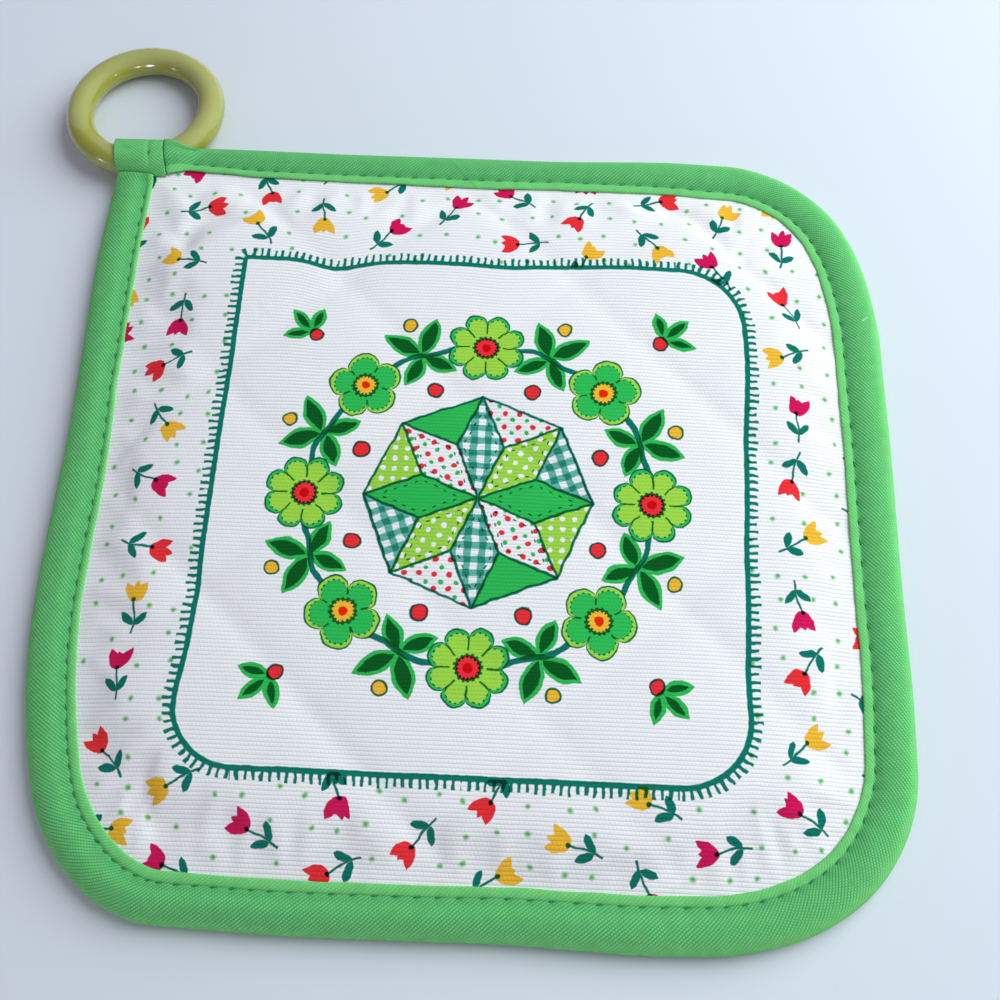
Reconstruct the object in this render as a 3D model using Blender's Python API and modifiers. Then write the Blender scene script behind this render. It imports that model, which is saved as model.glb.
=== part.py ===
"""A square padded pot holder with a folded cloth binding, and a plastic ring in a cloth loop at one corner.

It lies face up on a flat surface. The origin is the middle of the pad on that surface, +X runs to the right
and +Y away from the viewer, towards the ring.
"""

import math

import bmesh
import bpy
import numpy as np
from mathutils import Matrix

# The bound edge, seen from above: how far each side lies from the origin.
SIDE_LEFT, SIDE_RIGHT = 0.0897, 0.0897
SIDE_TOP, SIDE_BOTTOM = 0.0898, 0.0892
# Each rounded corner is a quarter of an ellipse: (radius along X, along Y). The ring's corner is square.
CORNER_TOP_RIGHT = (0.0340, 0.0490)
CORNER_BOTTOM_RIGHT = (0.0412, 0.0358)
CORNER_BOTTOM_LEFT = (0.0349, 0.0661)
# The sewn edge wanders in and out: (bearing in degrees, anticlockwise from +X; outward shift).
EDGE_WAVER = (
    (-170, -0.0003),
    (-160, -0.0005),
    (-150, -0.0004),
    (-138, 0.0005),
    (-125, -0.0008),
    (-110, 0.0001),
    (-95, 0.0000),
    (-83, -0.0003),
    (-68, 0.0006),
    (-57, -0.0001),
    (-45, 0.0001),
    (-36, -0.0001),
    (-24, 0.0005),
    (-10, 0.0000),
    (10, 0.0000),
    (24, -0.0005),
    (31, -0.0006),
    (43, 0.0006),
    (54, -0.0006),
    (65, 0.0004),
    (80, -0.0004),
    (95, -0.0002),
    (112, -0.0001),
    (125, 0.0004),
    (135, 0.0002),
    (148, 0.0010),
    (160, 0.0001),
    (172, -0.0005),
)
EDGE_STEP = 0.0005  # spacing of the points that describe the edge
EDGE_SMOOTHING = 31  # how many of those points the wandering is averaged over

# The filled pad, from its edge to its middle: (distance in from the bound edge, underside, face).
PAD_PROFILE = (
    (0.0024, 0.0018, 0.0030),
    (0.0030, 0.0013, 0.0036),
    (0.0060, 0.0013, 0.0040),
    (0.0126, 0.0013, 0.0044),
    (0.0145, 0.0010, 0.0051),
    (0.0180, 0.0003, 0.0060),
    (0.0250, 0.0000, 0.0068),
    (0.0350, 0.0000, 0.0073),
    (0.0500, 0.0000, 0.0076),
    (0.0700, 0.0000, 0.0077),
    (0.0890, 0.0000, 0.0078),
)
# How far in the grid's rings lie: two close together at the edge, one under the binding and one at its lip.
# The others follow evenly to the middle.
PAD_RIM_RINGS = (0.0024, 0.0030, 0.0065, 0.0108)
PAD_INNER_RINGS = 14
# The quilting that holds the filling makes soft channels across the face, in two slantwise sets. A channel
# falls to the right where it is +1 and rises to the right where it is -1: (set, distance from the
# origin, depth).
QUILT_CHANNELS = (
    (+1, -0.0900, 0.0006),
    (+1, -0.0550, 0.0009),
    (+1, -0.0220, 0.0005),
    (+1, 0.0140, 0.0007),
    (+1, 0.0515, 0.0008),
    (+1, 0.0840, 0.0008),
    (-1, -0.0590, 0.0007),
    (-1, -0.0220, 0.0006),
    (-1, 0.0120, 0.0004),
    (-1, 0.0470, 0.0008),
    (-1, 0.0840, 0.0010),
)
QUILT_HALF_WIDTH = 0.0050
QUILT_FADE_START, QUILT_FADE_END = 0.0120, 0.0200  # distance in from the edge

# The cloth tape of the binding and of the loop.
CLEARANCE = 0.0003  # the gap kept between two pieces that touch
TAPE_THICKNESS = 0.0010
# The tape's middle line is a half circle round the pad's edge, with an arm over the face and one below.
BINDING_RIM_RADIUS, BINDING_RIM_POINTS = 0.00205, 7
BINDING_FACE_ARM = ((0.0080, 0.0052), (0.0064, 0.0050), (0.0047, 0.0049))  # (distance in, height)
BINDING_BACK_ARM = ((0.0047, 0.0005), (0.0070, 0.0005))
BINDING_LIP_HEIGHT, BINDING_BACK_HEIGHT = 0.0053, 0.0005
# How far the tape reaches in from the edge, along the left and right sides and along the top and bottom.
BINDING_WIDTH_SIDES, BINDING_WIDTH_ENDS = 0.0104, 0.0096
BINDING_STEP = 0.0070
BINDING_START_X = -0.0774  # on the top side, beside the loop
BINDING_END_Y = 0.0797  # on the left side, below the loop
# Beside the loop the fold is slit along the edge for this far, and the ring comes out between its two layers.
BINDING_SLIT = 0.0085
# Where the tape lies over the ring, its points are closer together.
BINDING_START_STEP, BINDING_START_LENGTH = 0.0015, 0.0165

# The ring: a moulded plastic torus, low at its far side and raised where the loop holds it.
RING_RADIUS, RING_TUBE_RADIUS = 0.0161, 0.0033
RING_X, RING_Y = -0.0861, 0.1011
RING_HEIGHT_IN_LOOP, RING_HEIGHT_FAR = 0.0048, 0.0035
RING_SEGMENTS, RING_TUBE_SEGMENTS = 52, 14
PAD_KEEPS_OFF_RING = 0.0010

# The loop: a short tape folded round the ring, its two ends caught at the pad's corner.
LOOP_LEFT, LOOP_RIGHT = -0.0899, -0.0780
LOOP_END_Y = BINDING_END_Y + CLEARANCE
LOOP_STATIONS = 9
LOOP_WRAP_START = 150  # where the front meets the tube, in degrees above its far side
LOOP_RISE_POINTS, LOOP_FOLD_POINTS = 4, 11
LOOP_FRONT_HEIGHT = 0.0051
LOOP_SEAM = 0.0005  # the front end lies flat for this far, where it is sewn down
LOOP_CREST, LOOP_FOLD = 0.0050, 0.0105  # from its ends to its highest place, and to its fold
# The loop leans to the left as it leaves the corner, and the binding's start leans with it.
CORNER_LEAN, CORNER_LEAN_REACH = -0.14, 0.015
# The faceted tape cuts its corners a little, so its middle is drawn further from the tube than the clearance.
CORNER_ALLOWANCE = 0.0003
TAPE_RADIUS = RING_TUBE_RADIUS + CLEARANCE + CORNER_ALLOWANCE + TAPE_THICKNESS / 2


def corner_arc(centre, radii, start_degrees):
    """A quarter of an ellipse, run clockwise as seen from above."""
    angles = np.radians(np.linspace(start_degrees, start_degrees - 90, 90))
    return np.column_stack((centre[0] + radii[0] * np.cos(angles), centre[1] + radii[1] * np.sin(angles)))


def evenly_spaced(points, step):
    """The same line with a point about every step along it, and the distance of each from the start."""
    lengths = np.concatenate(([0.0], np.cumsum(np.hypot(*np.diff(points, axis=0).T))))
    distances = np.linspace(0.0, lengths[-1], round(lengths[-1] / step) + 1)
    spaced = np.column_stack([np.interp(distances, lengths, points[:, axis]) for axis in (0, 1)])
    return spaced, distances


def outward_normals(points):
    """Unit normals to the left of a line that runs clockwise, so they point away from the pad."""
    tangents = np.gradient(points, axis=0)
    tangents /= np.hypot(*tangents.T)[:, None]
    return np.column_stack((-tangents[:, 1], tangents[:, 0]))


def edge_line():
    """The bound edge from the ring's corner, clockwise round the pad and back to that corner."""
    top_right, bottom_right, bottom_left = CORNER_TOP_RIGHT, CORNER_BOTTOM_RIGHT, CORNER_BOTTOM_LEFT
    plain = np.concatenate(
        (
            [(-SIDE_LEFT, SIDE_TOP)],
            corner_arc((SIDE_RIGHT - top_right[0], SIDE_TOP - top_right[1]), top_right, 90),
            corner_arc((SIDE_RIGHT - bottom_right[0], bottom_right[1] - SIDE_BOTTOM), bottom_right, 0),
            corner_arc((bottom_left[0] - SIDE_LEFT, bottom_left[1] - SIDE_BOTTOM), bottom_left, -90),
            [(-SIDE_LEFT, SIDE_TOP)],
        )
    )
    points, _ = evenly_spaced(plain, EDGE_STEP)
    bearings, shifts = np.array(EDGE_WAVER).T
    own_bearings = np.degrees(np.arctan2(points[:, 1], points[:, 0]))
    waver = np.interp(own_bearings, bearings, shifts, period=360)
    weights = np.hanning(EDGE_SMOOTHING)
    waver = np.pad(waver, EDGE_SMOOTHING // 2, mode="edge")
    waver = np.convolve(waver, weights / weights.sum(), mode="valid")
    return points + outward_normals(points) * waver[:, None]


def ring_line_distance(x, y):
    """How far a place lies from the middle line of the ring's tube, seen from above."""
    return abs(math.hypot(x - RING_X, y - RING_Y) - RING_RADIUS)


def ring_line_height(y):
    """The height of the middle of the ring's tube, which falls from the loop to the far side."""
    share = (y - (RING_Y - RING_RADIUS)) / (2 * RING_RADIUS)
    return RING_HEIGHT_IN_LOOP + share * (RING_HEIGHT_FAR - RING_HEIGHT_IN_LOOP)


def over_ring(x, y, height):
    """A tape's height, raised where it lies over the ring and where it slopes off the tube at 45 degrees."""
    distance = ring_line_distance(x, y)
    if distance < TAPE_RADIUS * math.sqrt(0.5):
        above_tube = math.sqrt(TAPE_RADIUS**2 - distance**2)
    else:
        above_tube = TAPE_RADIUS * math.sqrt(2.0) - distance
    return max(height, ring_line_height(y) + above_tube)


def leaning(x, y):
    """A place's X beside the corner, where the tapes lean as they leave the pad."""
    fade = max(0.0, 1.0 - max(0.0, x - LOOP_RIGHT) / CORNER_LEAN_REACH)
    return x + CORNER_LEAN * max(0.0, y - LOOP_END_Y) * fade


def channel_depth(x, y, inset):
    """How far the quilting pulls the face down at a place."""
    depth = 0.0
    for side, offset, most in QUILT_CHANNELS:
        across = (x + side * y) / math.sqrt(2.0) - offset
        depth += most * math.exp(-((across / QUILT_HALF_WIDTH) ** 2))
    return depth * np.interp(inset, (QUILT_FADE_START, QUILT_FADE_END), (0.0, 1.0))


def material(name, colour, roughness):
    made = bpy.data.materials.new(name)
    made.use_nodes = True
    shader = made.node_tree.nodes["Principled BSDF"]
    shader.inputs["Base Color"].default_value = (*colour, 1.0)
    shader.inputs["Roughness"].default_value = roughness
    shader.inputs["Metallic"].default_value = 0.0
    made.diffuse_color = (*colour, 1.0)
    return made


def placed(mesh, name, finish, collection):
    """Puts a finished bmesh into the scene as a smooth object with its own material."""
    data = bpy.data.meshes.new(name)
    mesh.to_mesh(data)
    mesh.free()
    data.shade_smooth()
    made = bpy.data.objects.new(name, data)
    data.materials.append(finish)
    collection.objects.link(made)
    return made


def sheet_grid(rows):
    """An open sheet through rows of points, each row as long as the others."""
    mesh = bmesh.new()
    bmesh.ops.create_grid(mesh, x_segments=len(rows[0]) - 1, y_segments=len(rows) - 1, size=1.0)
    mesh.verts.ensure_lookup_table()
    for vertex, point in zip(mesh.verts, (point for row in rows for point in row)):
        vertex.co = point
    return mesh


def tape(name, middle, finish, collection):
    """A cloth tape, made by thickening the mesh of its middle."""
    made = placed(middle, name, finish, collection)
    thickness = made.modifiers.new("Thickness", "SOLIDIFY")
    thickness.thickness = TAPE_THICKNESS
    thickness.offset = 0.0


def make_pad(edge, collection):
    """The printed face, the filling and the plain back, sewn together at the edge: one filled form."""
    insets, undersides, faces = np.array(PAD_PROFILE).T
    inner_rings = np.linspace(PAD_RIM_RINGS[-1], SIDE_LEFT, PAD_INNER_RINGS + 1)[1:]
    rings = np.concatenate((PAD_RIM_RINGS, inner_rings))
    segments = 2 * (len(rings) - 1)
    bearings = np.arctan2(edge[:, 1], edge[:, 0])
    reaches = np.hypot(*edge.T)
    order = np.argsort(bearings)
    keep_off = RING_RADIUS + RING_TUBE_RADIUS + PAD_KEEPS_OFF_RING
    mesh = bmesh.new()
    for heights, is_face in ((undersides, False), (faces, True)):
        made = bmesh.ops.create_grid(mesh, x_segments=segments, y_segments=segments, size=1.0)
        for vertex in made["verts"]:
            # The grid's square rings become copies of the edge, each one further in.
            share = max(abs(vertex.co.x), abs(vertex.co.y))
            bearing = math.atan2(vertex.co.y, vertex.co.x)
            inset = np.interp((1.0 - share) * (len(rings) - 1), range(len(rings)), rings)
            reach = np.interp(bearing, bearings[order], reaches[order], period=2 * math.pi)
            scale = max(0.0, 1.0 - inset / SIDE_LEFT)
            x, y = (reach * scale * share for share in (math.cos(bearing), math.sin(bearing)))
            from_ring = math.hypot(x - RING_X, y - RING_Y)
            if from_ring < keep_off:
                x = RING_X + (x - RING_X) * keep_off / from_ring
                y = RING_Y + (y - RING_Y) * keep_off / from_ring
            true_inset = np.hypot(edge[:, 0] - x, edge[:, 1] - y).min()
            height = np.interp(true_inset, insets, heights)
            vertex.co = (x, y, height - channel_depth(x, y, true_inset) * is_face)
        if not is_face:
            bmesh.ops.reverse_faces(mesh, faces=mesh.faces[:])
    rims = [each for each in mesh.edges if each.is_boundary]
    bmesh.ops.bridge_loops(mesh, edges=rims)
    bmesh.ops.recalc_face_normals(mesh, faces=mesh.faces[:])
    placed(mesh, "pad", material("printed_cotton", (0.80, 0.78, 0.80), 0.9), collection)


def binding_fold(width):
    """The tape's middle line across the edge, from its face lip to its back lip: (distance in, height)."""
    rim_middle = TAPE_THICKNESS / 2 + BINDING_RIM_RADIUS
    rim = [
        (rim_middle - BINDING_RIM_RADIUS * math.sin(turn), rim_middle + BINDING_RIM_RADIUS * math.cos(turn))
        for turn in np.linspace(0.0, math.pi, BINDING_RIM_POINTS)
    ]
    lips = ((width, BINDING_LIP_HEIGHT), (width, BINDING_BACK_HEIGHT))
    return np.array((lips[0], *BINDING_FACE_ARM, *rim, *BINDING_BACK_ARM, lips[1]))


def binding_section(x, y, normal):
    """The tape across the edge at one place, its face half raised where that lies over the ring."""
    fold = binding_fold(BINDING_WIDTH_SIDES * normal[0] ** 2 + BINDING_WIDTH_ENDS * normal[1] ** 2)
    section = []
    for index, (inset, height) in enumerate(fold):
        place_x, place_y = x - normal[0] * inset, y - normal[1] * inset
        if index <= len(fold) // 2:
            height = over_ring(place_x, place_y, height)
        section.append((leaning(place_x, place_y), place_y, height))
    return section


def make_binding(edge, finish, collection):
    """One bias tape folded over the edge, from beside the loop all the way round to just below it."""
    start = next(index for index, point in enumerate(edge) if point[0] > BINDING_START_X)
    end = max(index for index, point in enumerate(edge) if point[1] < BINDING_END_Y)
    line, distances = evenly_spaced(edge[start : end + 1], EDGE_STEP)
    line[0, 0], line[-1, 1] = BINDING_START_X, BINDING_END_Y
    columns = (*line.T, *outward_normals(line).T)
    near_ring = np.arange(0.0, BINDING_START_LENGTH, BINDING_START_STEP)
    count = round((distances[-1] - BINDING_START_LENGTH) / BINDING_STEP) + 1
    places = np.concatenate((near_ring, np.linspace(BINDING_START_LENGTH, distances[-1], count)))
    rows = []
    for place in places:
        x, y, normal_x, normal_y = (np.interp(place, distances, column) for column in columns)
        rows.append(binding_section(x, y, (normal_x, normal_y)))
    mesh = sheet_grid(rows)
    slit_rows = sum(place < BINDING_SLIT for place in places)
    rim_middle = 1 + len(BINDING_FACE_ARM) + BINDING_RIM_POINTS // 2
    slit = {
        mesh.verts[row * len(rows[0]) + column]
        for row in range(slit_rows + 1)
        for column in range(rim_middle, rim_middle + BINDING_RIM_POINTS // 2 + 1)
    }
    cut = [face for face in mesh.faces if slit.issuperset(face.verts)]
    bmesh.ops.delete(mesh, geom=cut, context="FACES")
    tape("binding", mesh, finish, collection)


def ring_line_y(x):
    """Where the middle of the ring's tube crosses the loop at a place, and how much it slants there."""
    slant = math.asin((x - RING_X) / RING_RADIUS)
    return RING_Y - RING_RADIUS * math.cos(slant), math.cos(slant)


def loop_section(x):
    """The loop's middle line at one place: up the front, flat over the ring to the fold, and back below."""
    crest_y, cosine = ring_line_y(x + CORNER_LEAN * LOOP_CREST)
    fold_y, fold_cosine = ring_line_y(LOOP_RIGHT + CORNER_LEAN * LOOP_FOLD)
    tube_height = ring_line_height(crest_y)
    floor = TAPE_THICKNESS / 2
    line = [(LOOP_END_Y, LOOP_FRONT_HEIGHT), (LOOP_END_Y + LOOP_SEAM, LOOP_FRONT_HEIGHT)]
    for turn in np.radians(np.linspace(LOOP_WRAP_START, 90, LOOP_RISE_POINTS)):
        y = crest_y + TAPE_RADIUS / cosine * math.cos(turn)
        line.append((y, tube_height + TAPE_RADIUS * math.sin(turn)))
    for turn in np.radians(np.linspace(90, -90, LOOP_FOLD_POINTS)):
        height = max(floor, tube_height + TAPE_RADIUS * math.sin(turn))
        line.append((fold_y + TAPE_RADIUS / fold_cosine * math.cos(turn), height))
    line.append(((fold_y + LOOP_END_Y) / 2, floor))
    line.append((LOOP_END_Y, floor))
    return [(x + CORNER_LEAN * (y - LOOP_END_Y), y, height) for y, height in line]


def make_loop(finish, collection):
    """A short tape folded in a U round the ring, its open side towards the pad's corner."""
    places = np.linspace(LOOP_LEFT, LOOP_RIGHT, LOOP_STATIONS)
    tape("loop", sheet_grid([loop_section(x) for x in places]), finish, collection)


def make_ring(collection):
    """A solid plastic ring that slides and turns in the loop."""
    bpy.ops.mesh.primitive_torus_add(
        major_segments=RING_SEGMENTS,
        minor_segments=RING_TUBE_SEGMENTS,
        major_radius=RING_RADIUS,
        minor_radius=RING_TUBE_RADIUS,
    )
    ring = bpy.context.object
    ring.name = "ring"
    ring.data.name = "ring"
    tilt = math.asin((RING_HEIGHT_FAR - RING_HEIGHT_IN_LOOP) / (2 * RING_RADIUS))
    middle = (RING_HEIGHT_FAR + RING_HEIGHT_IN_LOOP) / 2
    ring.matrix_world = Matrix.Translation((RING_X, RING_Y, middle)) @ Matrix.Rotation(tilt, 4, "X")
    ring.data.shade_smooth()
    ring.data.materials.append(material("olive_plastic", (0.36, 0.37, 0.06), 0.2))
    for holder in list(ring.users_collection):
        holder.objects.unlink(ring)
    collection.objects.link(ring)


def main():
    for stray in list(bpy.data.objects):
        bpy.data.objects.remove(stray)
    collection = bpy.data.collections.new("pot_holder")
    bpy.context.scene.collection.children.link(collection)
    edge = edge_line()
    tape_finish = material("green_bias_tape", (0.10, 0.46, 0.14), 0.85)
    make_pad(edge, collection)
    make_binding(edge, tape_finish, collection)
    make_loop(tape_finish, collection)
    make_ring(collection)


main()
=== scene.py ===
"""A square padded pot holder: printed cotton, a bound edge, and a plastic ring in a cloth loop.

It lies face up. Everything is in metres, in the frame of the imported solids. Patterns are drawn in
millimetres.
"""

from math import acos, asin, atan2, cos, degrees, exp, hypot, pi, radians, sin, sqrt, tan, tau

import bmesh
import bpy
import numpy as np
from mathutils import Matrix, Vector, noise


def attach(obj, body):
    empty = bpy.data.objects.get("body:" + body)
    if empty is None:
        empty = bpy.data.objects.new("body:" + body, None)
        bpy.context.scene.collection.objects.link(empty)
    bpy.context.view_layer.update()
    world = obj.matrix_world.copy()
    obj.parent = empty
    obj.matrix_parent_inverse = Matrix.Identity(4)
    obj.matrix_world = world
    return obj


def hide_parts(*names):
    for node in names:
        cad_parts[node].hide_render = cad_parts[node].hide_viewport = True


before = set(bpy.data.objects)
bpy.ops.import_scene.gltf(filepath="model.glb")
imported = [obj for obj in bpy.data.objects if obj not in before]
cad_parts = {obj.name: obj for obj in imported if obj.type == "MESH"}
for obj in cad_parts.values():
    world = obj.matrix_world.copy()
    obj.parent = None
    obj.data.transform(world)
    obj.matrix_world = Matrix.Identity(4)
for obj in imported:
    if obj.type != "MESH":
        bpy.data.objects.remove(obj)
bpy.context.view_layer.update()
scene = bpy.context.scene

# ------------------------
# The camera: it stands in front of the pot holder and looks down on it, with the ring's corner far
# left. There is no blur with depth.
CAMERA_PLACE = (0.014073, -0.107461, 0.253200)
CAMERA_TURN = (0.4083, 0.0123, 0.0472)
CAMERA_LENS, CAMERA_SENSOR = 45.91, 36.0

camera_data = bpy.data.cameras.new("camera")
camera_data.lens = CAMERA_LENS
camera_data.sensor_width = CAMERA_SENSOR
camera_data.clip_start = 0.01
camera = bpy.data.objects.new("camera", camera_data)
camera.location = CAMERA_PLACE
camera.rotation_euler = CAMERA_TURN
scene.collection.objects.link(camera)
scene.camera = camera
scene.view_settings.view_transform = "Standard"

# ------------------------
# The pad: a printed cotton face and a plain cotton back, sewn together over cotton wadding. Soft
# channels of quilting cross it slantwise, and the binding draws its edge in.
SIDE_LEFT, SIDE_RIGHT = 0.0900, 0.0898
SIDE_TOP, SIDE_BOTTOM = 0.0899, 0.0894
# Each rounded corner is a quarter of an ellipse: (radius along X, along Y). The ring's corner is square.
CORNER_TOP_RIGHT = (0.0340, 0.0490)
CORNER_BOTTOM_RIGHT = (0.0412, 0.0358)
CORNER_BOTTOM_LEFT = (0.0349, 0.0661)
# The sewn edge wanders in and out: (bearing in degrees, anticlockwise from +X; outward shift).
EDGE_WAVER = (
    (-170, -0.0003), (-160, -0.0005), (-150, -0.0004), (-138, 0.0009), (-125, -0.0008), (-110, 0.0001),
    (-95, 0.0000), (-83, -0.0003), (-68, 0.0006), (-57, -0.0001), (-45, 0.0001), (-36, -0.0001),
    (-24, 0.0005), (-10, 0.0000), (10, 0.0000), (24, -0.0005), (31, -0.0006), (43, 0.0006),
    (54, -0.0006), (65, 0.0004), (80, -0.0004), (95, -0.0002), (112, -0.0001), (125, 0.0004),
    (135, 0.0002), (148, 0.0010), (160, 0.0001), (172, -0.0005),
)
EDGE_STEP = 0.0005
EDGE_SMOOTHING = 31

# The filled form, from its edge to its middle: (distance in from the bound edge, underside, face).
PAD_PROFILE = (
    (0.0024, 0.0018, 0.0030), (0.0032, 0.0013, 0.0037), (0.0060, 0.0013, 0.0041),
    (0.0094, 0.0013, 0.0043), (0.0112, 0.0012, 0.0046), (0.0138, 0.0009, 0.0052),
    (0.0185, 0.0004, 0.0060), (0.0250, 0.0001, 0.0067), (0.0350, 0.0001, 0.0072),
    (0.0500, 0.0001, 0.0075), (0.0700, 0.0001, 0.0077), (0.0890, 0.0001, 0.0078),
)
PAD_ROWS = 44  # rows of faces from the edge to the middle
# The binding holds the face up to the first distance in from the edge, and lets go at the second.
HELD_INSET, FREE_INSET = 0.0100, 0.0155
# The quilting: (across it, +1 for a line falling to the right and -1 for one rising; where; depth).
QUILT_LINES = (
    (+1, -0.090, 0.0005), (+1, -0.055, 0.0008), (+1, -0.022, 0.0005), (+1, 0.014, 0.0007),
    (+1, 0.0515, 0.0007), (+1, 0.084, 0.0008), (-1, -0.059, 0.0007), (-1, -0.022, 0.0005),
    (-1, 0.012, 0.0004), (-1, 0.047, 0.0007), (-1, 0.084, 0.0010),
)
QUILT_HALF_WIDTH, QUILT_CREASE = 0.0050, 0.0016
QUILT_FADE_START, QUILT_FADE_END = 0.010, 0.019  # distance in from the edge
QUILT_WANDER, QUILT_WANDER_LENGTH, QUILT_STRENGTH_LENGTH = 0.0012, 0.030, 0.022
PUCKER_DEPTH, PUCKER_LENGTH, PUCKER_REACH = 0.00045, 0.0125, 0.0080
PUCKER_START, PUCKER_END = 0.0092, 0.0132  # distance in from the edge
# Where the ring's tube passes the pad's square corner, the pad stays this far from the ring's middle.
RING_X, RING_Y, RING_RADIUS, RING_TUBE = -0.0861, 0.1007, 0.0161, 0.0033
PAD_KEEPS_OFF = RING_RADIUS + RING_TUBE + 0.0010


def corner_arc(centre, radii, start_degrees):
    """A quarter of an ellipse, run clockwise as seen from above."""
    angles = np.radians(np.linspace(start_degrees, start_degrees - 90, 90))
    unit = np.column_stack((np.cos(angles), np.sin(angles)))
    return np.array(centre) + np.array(radii) * unit


def evenly_spaced(points, step):
    """The same line with a point about every step along it, and the distance of each from the start."""
    lengths = np.concatenate(([0.0], np.cumsum(np.hypot(*np.diff(points, axis=0).T))))
    distances = np.linspace(0.0, lengths[-1], round(lengths[-1] / step) + 1)
    spaced = np.column_stack([np.interp(distances, lengths, points[:, axis]) for axis in (0, 1)])
    return spaced, distances


def outward_normals(points):
    """Unit normals to the left of a line that runs clockwise, so they point away from the pad."""
    tangents = np.gradient(points, axis=0)
    tangents /= np.hypot(*tangents.T)[:, None]
    return np.column_stack((-tangents[:, 1], tangents[:, 0]))


def edge_line():
    """The bound edge from the ring's corner, clockwise round the pad and back to that corner."""
    top_right, bottom_right, bottom_left = CORNER_TOP_RIGHT, CORNER_BOTTOM_RIGHT, CORNER_BOTTOM_LEFT
    corner = [(-SIDE_LEFT, SIDE_TOP)]
    first = corner_arc((SIDE_RIGHT - top_right[0], SIDE_TOP - top_right[1]), top_right, 90)
    second = corner_arc((SIDE_RIGHT - bottom_right[0], bottom_right[1] - SIDE_BOTTOM), bottom_right, 0)
    third = corner_arc((bottom_left[0] - SIDE_LEFT, bottom_left[1] - SIDE_BOTTOM), bottom_left, -90)
    points, _ = evenly_spaced(np.concatenate((corner, first, second, third, corner)), EDGE_STEP)
    bearings, shifts = np.array(EDGE_WAVER).T
    own_bearings = np.degrees(np.arctan2(points[:, 1], points[:, 0]))
    waver = np.interp(own_bearings, bearings, shifts, period=360)
    weights = np.hanning(EDGE_SMOOTHING)
    waver = np.pad(waver, EDGE_SMOOTHING // 2, mode="edge")
    waver = np.convolve(waver, weights / weights.sum(), mode="valid")
    return points + outward_normals(points) * waver[:, None]


def eased(value, start, end):
    """0 before start, 1 after end, and a soft step between them."""
    share = min(1.0, max(0.0, (value - start) / (end - start)))
    return share * share * (3.0 - 2.0 * share)


def uneven(distance, length, strand):
    """A slow, repeatable wander between about -1 and 1 along a seam."""
    return noise.noise(Vector((distance / length, strand, 0.37)))


def quilting(x, y, inset):
    """How far the quilting pulls the face down at a place."""
    deepest = 0.0
    for side, offset, depth in QUILT_LINES:
        across = (x + side * y) / sqrt(2.0) - offset
        along = (x - side * y) / sqrt(2.0)
        across += QUILT_WANDER * uneven(along, QUILT_WANDER_LENGTH, 5.0 + 100 * offset)
        strength = depth * (0.85 + 0.35 * uneven(along, QUILT_STRENGTH_LENGTH, 9.0 + 100 * offset))
        channel = exp(-((abs(across) / QUILT_HALF_WIDTH) ** 1.5))
        crease = exp(-((across / QUILT_CREASE) ** 2))
        deepest += strength * (0.6 * channel + 0.4 * crease)
    return deepest * eased(inset, QUILT_FADE_START, QUILT_FADE_END)


def puckers(distance, inset):
    """How far the tight binding gathers the face beside it."""
    fade = exp(-(max(0.0, inset - PUCKER_START) / PUCKER_REACH))
    fade *= eased(inset, PUCKER_START, PUCKER_END)
    wave = uneven(distance, PUCKER_LENGTH, 2.0) + 0.5 * uneven(distance, PUCKER_LENGTH / 2.3, 3.0)
    return PUCKER_DEPTH * wave * fade


# The face's print was laid slightly askew on the pad: (axis moved, far from the middle along the other
# axis, reach along it, shift; place on the moved axis where it is strongest, reach).
PRINT_SHIFTS = (
    ("y", -0.034, 0.006, -0.0021, 0.055, 0.020), ("y", 0.005, 0.007, -0.0007, 0.055, 0.020),
    ("y", 0.029, 0.012, 0.0006, 0.055, 0.020), ("x", 0.032, 0.014, 0.0009, 0.057, 0.022),
    ("x", -0.015, 0.014, -0.0004, 0.057, 0.022), ("x", -0.039, 0.014, -0.0009, 0.057, 0.022),
    ("x", -0.047, 0.008, -0.0012, -0.054, 0.022),
)


def on_flat_cloth(x, y):
    """Where a place on the pad lies on the printed cloth before it was sewn."""
    flat = [x, y]
    for axis, middle, reach, shift, strongest, fade in PRINT_SHIFTS:
        moved, other = (x, y) if axis == "x" else (y, x)
        weight = exp(-(((other - middle) / reach) ** 2) - ((moved - strongest) / fade) ** 2)
        flat["xy".index(axis)] -= shift * weight
    return flat


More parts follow.
